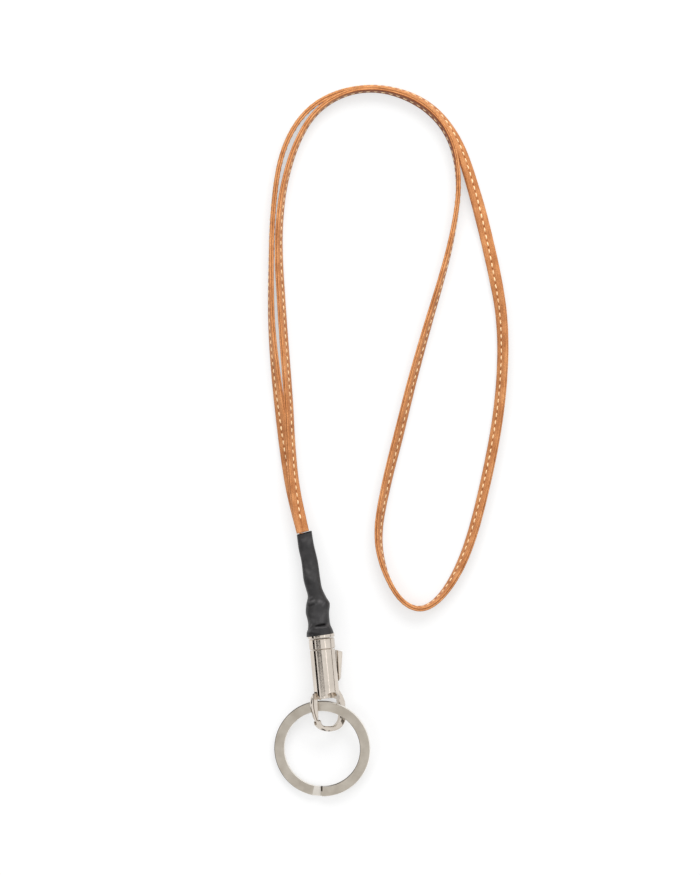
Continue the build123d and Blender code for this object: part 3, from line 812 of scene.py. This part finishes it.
def ground_facets():
    """The plate with a bump for the blade's two facets, and a painted dark reflection along their ridge.
    """
    material = plated("gate_plate", (0.72, 0.65, 0.575), PLATE_ROUGH, PLATE_EDGE)
    nodes, links = material.node_tree.nodes, material.node_tree.links
    shader = nodes["Principled BSDF"]
    split = nodes.new("ShaderNodeSeparateXYZ")
    links.new(nodes.new("ShaderNodeTexCoord").outputs["Object"], split.inputs[0])
    across = add_math(nodes, links, "MULTIPLY", split.outputs["X"], math.cos(HOOK_ROLL))
    deep = add_math(nodes, links, "MULTIPLY", split.outputs["Z"], math.sin(HOOK_ROLL))
    across = add_math(nodes, links, "SUBTRACT", across, deep)
    bend = add_math(nodes, links, "SUBTRACT", split.outputs["Y"], RIDGE_MIDDLE)
    bend = add_math(nodes, links, "POWER", bend, 2.0)
    ridge = add_math(nodes, links, "MULTIPLY", bend, RIDGE_BEND)
    ridge = add_math(nodes, links, "ADD", ridge, RIDGE_FROM)
    off = add_math(nodes, links, "SUBTRACT", across, ridge)
    off = add_math(nodes, links, "ABSOLUTE", off)
    blade = add_math(nodes, links, "LESS_THAN", split.outputs["Y"], BLADE_FROM)
    slope = add_math(nodes, links, "MINIMUM", off, FACET_WIDTH)
    slope = add_math(nodes, links, "MULTIPLY", slope, FACET_SLOPE)
    slope = add_math(nodes, links, "MULTIPLY", slope, blade)
    before = shader.inputs["Normal"].links[0].from_socket
    links.new(add_bump(nodes, links, slope, 1.0, 1.0, before), shader.inputs["Normal"])
    # Painted reflection: a dark line along the ridge where the two facets meet.
    off = add_math(nodes, links, "MULTIPLY", off, 1000.0)
    line = add_ramp(nodes, links, off, [(0.10, (0.22, 0.18, 0.15)), (0.28, UNCHANGED)])
    plain = shader.inputs["Base Color"].links[0].from_socket
    links.new(add_mix(nodes, links, "MULTIPLY", blade, plain, line), shader.inputs["Base Color"])
    return material


set_material("gate_lever", ground_facets())


# Small parts in the swivel, the hook and the sleeve: a steel washer under the swivel's disc and one
# on its stem's end, the lever's steel pin and spring, and the brass rivet through the fold.
steel = plated("plain_steel", (0.56, 0.54, 0.52), 0.3, 0.0001)
for node in ("thrust_washer", "retaining_washer", "lever_pin", "lever_spring"):
    set_material(node, steel)
set_material("fold_rivet", plated("rivet_brass", (0.72, 0.56, 0.32), 0.28, 0.0001))


# Split ring: two flat coils of sheet steel with a satin nickel finish. Its faces are rubbed
# round and round, and its rims are cut at 45 degrees, with a painted reflection on them.
RING_AXIS = (-0.09954, -0.07777, 0.99199)
ring_low, ring_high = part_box("split_ring")


# Painted shade: a dark line at the inner edge, where a coil ends. Painted reflection: rims dark on one
# side.
CUT_BESIDE = (0.9938, -0.1115, 0.0)
CUT_BEYOND = (-0.1115, -0.9938, 0.0)
CUT_REACH = 0.0170
LEFTWARD = (-0.94, 0.34, 0.0)
FACE_FROM_TILT = 0.9
FACE_FULL_TILT = 0.99


def add_dot(nodes, links, vector, direction):
    """How far a vector output goes in one direction."""
    dot = nodes.new("ShaderNodeVectorMath")
    dot.operation = "DOT_PRODUCT"
    dot.inputs[1].default_value = direction
    links.new(vector, dot.inputs[0])
    return dot.outputs["Value"]


def satin_ring():
    """Satin plate with fine scratches that run round the ring, painted reflections on the rims and
    painted shade where a coil ends.
    """
    material, nodes, links, shader = new_material("satin_ring")
    coordinates = nodes.new("ShaderNodeTexCoord")
    where = coordinates.outputs["Object"]
    centred = nodes.new("ShaderNodeVectorMath")
    centred.operation = "SUBTRACT"
    centred.inputs[1].default_value = tuple((Vector(ring_low) + Vector(ring_high)) / 2)
    links.new(where, centred.inputs[0])
    flat = nodes.new("ShaderNodeVectorMath")
    flat.operation = "MULTIPLY"
    flat.inputs[1].default_value = (1.0, 1.0, 0.0)
    links.new(centred.outputs[0], flat.inputs[0])
    reach = nodes.new("ShaderNodeVectorMath")
    reach.operation = "LENGTH"
    links.new(flat.outputs[0], reach.inputs[0])
    lines = nodes.new("ShaderNodeTexNoise")
    lines.noise_dimensions = "1D"
    lines.inputs["Scale"].default_value = 6000.0
    lines.inputs["Detail"].default_value = 3.0
    links.new(reach.outputs["Value"], lines.inputs["W"])
    patches = add_noise(nodes, links, where, 160.0, 4.0)
    colour = add_ramp(nodes, links, patches, [(0.30, (0.45, 0.40, 0.335)), (0.70, (0.59, 0.54, 0.468))])
    facing = add_dot(nodes, links, coordinates.outputs["Normal"], RING_AXIS)
    flatness = add_math(nodes, links, "ABSOLUTE", facing)
    face = nodes.new("ShaderNodeMapRange")
    face.inputs["From Min"].default_value = FACE_FROM_TILT
    face.inputs["From Max"].default_value = FACE_FULL_TILT
    links.new(flatness, face.inputs["Value"])
    # Painted reflection: rims that face left are coloured dark, the rest bright.
    leftward = add_dot(nodes, links, coordinates.outputs["Normal"], LEFTWARD)
    rim = add_ramp(
        nodes, links, leftward, [(0.1, (0.93, 0.90, 0.85)), (0.5, (0.14, 0.12, 0.105))]
    )
    colour = add_mix(nodes, links, "MIX", face.outputs["Result"], rim, colour)
    # Painted shade: a dark line across the inner edge where a coil ends.
    beside = add_dot(nodes, links, flat.outputs[0], CUT_BESIDE)
    beyond = add_dot(nodes, links, flat.outputs[0], CUT_BEYOND)
    beyond = add_math(nodes, links, "GREATER_THAN", beyond, 0.0)
    inner = add_math(nodes, links, "LESS_THAN", reach.outputs["Value"], CUT_REACH)
    inner = add_math(nodes, links, "MULTIPLY", inner, beyond)
    off = add_math(nodes, links, "MULTIPLY", beside, 1000.0)
    off = add_math(nodes, links, "ABSOLUTE", off)
    cut = add_ramp(nodes, links, off, [(0.22, (0.12, 0.1, 0.09)), (0.42, UNCHANGED)])
    colour = add_mix(nodes, links, "MULTIPLY", inner, colour, cut)
    links.new(colour, shader.inputs["Base Color"])
    rough = nodes.new("ShaderNodeMapRange")
    rough.inputs["From Min"].default_value = FACE_FROM_TILT
    rough.inputs["From Max"].default_value = FACE_FULL_TILT
    rough.inputs["To Min"].default_value = 0.5
    rough.inputs["To Max"].default_value = 0.36
    links.new(flatness, rough.inputs["Value"])
    links.new(rough.outputs["Result"], shader.inputs["Roughness"])
    shader.inputs["Metallic"].default_value = 1.0
    soft = nodes.new("ShaderNodeBevel")
    soft.samples = 4
    soft.inputs["Radius"].default_value = 0.00012
    brushed = add_bump(nodes, links, lines.outputs["Fac"], 0.25, 0.00004, soft.outputs["Normal"])
    links.new(brushed, shader.inputs["Normal"])
    return material


set_material("split_ring", satin_ring())


# Table: a plain pale matt top, far wider than the picture, so that no edge shows. It glows a
# little where it is looked at, as a brightly lit backdrop does, and lies just under the strap.
FLOOR_HALF = 6.0
FLOOR_DROP = 0.0001
FLOOR_GLOW = 0.55
corners = [(x * FLOOR_HALF, y * FLOOR_HALF, 0) for x, y in ((-1, -1), (1, -1), (1, 1), (-1, 1))]
floor = add_mesh("floor", corners, [(0, 1, 2, 3)], False)
floor.location.z = -FLOOR_DROP


def seen_rays(nodes, links):
    """One for rays that the camera sees, straight or in a reflection, and nought for the rest."""
    rays = nodes.new("ShaderNodeLightPath")
    seen = add_math(nodes, links, "MAXIMUM", rays.outputs["Is Camera Ray"], rays.outputs["Is Glossy Ray"])
    return add_math(nodes, links, "MAXIMUM", seen, rays.outputs["Is Transmission Ray"])


material, nodes, links, shader = new_material("pale_floor")
shader.inputs["Base Color"].default_value = (0.40, 0.40, 0.40, 1)
shader.inputs["Roughness"].default_value = 1.0
shader.inputs["Specular IOR Level"].default_value = 0.0
shader.inputs["Emission Color"].default_value = (1, 1, 1, 1)
seen = seen_rays(nodes, links)
glow = add_math(nodes, links, "MULTIPLY", seen, FLOOR_GLOW)
links.new(glow, shader.inputs["Emission Strength"])
floor.data.materials.append(material)


# Light: a bright room all round, one large soft lamp beyond the arch and a weaker one at the
# left, so the shadows are pale and fall mostly away from the arch, towards the ring.
ROOM_LIGHT = 0.82
world = bpy.data.worlds.new("room")
bpy.context.scene.world = world
world.use_nodes = True
nodes, links = world.node_tree.nodes, world.node_tree.links
background = nodes["Background"]
strength = nodes.new("ShaderNodeMapRange")
strength.inputs["To Min"].default_value = ROOM_LIGHT
strength.inputs["To Max"].default_value = 1.0
links.new(seen_rays(nodes, links), strength.inputs["Value"])
links.new(strength.outputs["Result"], background.inputs["Strength"])
background.inputs["Color"].default_value = (1, 1, 1, 1)


def add_lamp(name, place, aim, width, height, power):
    """A large soft lamp that points at a place on the table."""
    light = bpy.data.lights.new(name, "AREA")
    light.shape = "RECTANGLE"
    light.size, light.size_y = width, height
    light.energy = power
    lamp = bpy.data.objects.new(name, light)
    bpy.context.scene.collection.objects.link(lamp)
    lamp.location = place
    lamp.visible_glossy = False
    lamp.rotation_euler = (Vector(aim) - Vector(place)).to_track_quat("-Z", "Y").to_euler()


add_lamp("key", (0.40, 1.10, 0.70), (0.02, 0.09, 0), 1.3, 0.8, 15.0)
add_lamp("side", (-0.95, -0.1, 0.9), (0.02, 0.05, 0), 0.7, 0.7, 3.0)


# Cards: strips round the table that show only in reflections. Three dark ones high on the left and
# a light one on the right give the barrel its lines, and a low one on each of the four sides
# draws the edges of the small castings.
CARD_REACH = 1.3
DARK = (0.012, 0.009, 0.007)
MIDDLING = (0.10, 0.085, 0.07)
LIGHT = (2.0, 2.0, 2.0)


def add_card(name, heading, low_angle, high_angle, start, end, tone):
    """A strip on one side, between two angles from straight up, and between two places along it."""
    turn = math.radians(heading)
    out = Vector((math.cos(turn), math.sin(turn), 0))
    side = Vector((-math.sin(turn), math.cos(turn), 0))
    corners = []
    for angle, places in ((low_angle, (start, end)), (high_angle, (end, start))):
        t = math.radians(angle)
        height = Vector((0, 0, math.cos(t) * CARD_REACH))
        for place in places:
            corners.append(out * math.sin(t) * CARD_REACH + side * place + height)
    card = add_mesh(name, corners, [(0, 1, 2, 3)], False)
    material, nodes, links, _ = new_material(name)
    glow = nodes.new("ShaderNodeEmission")
    glow.inputs["Color"].default_value = (*tone, 1)
    links.new(glow.outputs[0], nodes["Material Output"].inputs["Surface"])
    card.data.materials.append(material)
    card.visible_camera = False
    card.visible_diffuse = False
    card.visible_shadow = False
    card.visible_transmission = False


add_card("card_high", 180, 12, 24, -0.5, 0.07, DARK)
add_card("card_middle", 180, 26, 34, -0.5, 0.07, MIDDLING)
add_card("card_over", 180, 36, 54, -0.5, 0.07, DARK)
add_card("light_line", 0, 27, 31, -0.5, 0.5, LIGHT)
add_card("card_low_left", 180, 67, 89.5, -0.9, 0.9, DARK)
add_card("card_low_right", 0, 84, 89.5, -0.9, 0.9, MIDDLING)
add_card("card_low_front", 270, 74, 89.5, -0.9, 0.9, DARK)
add_card("card_low_back", 90, 80, 89.5, -0.9, 0.9, MIDDLING)
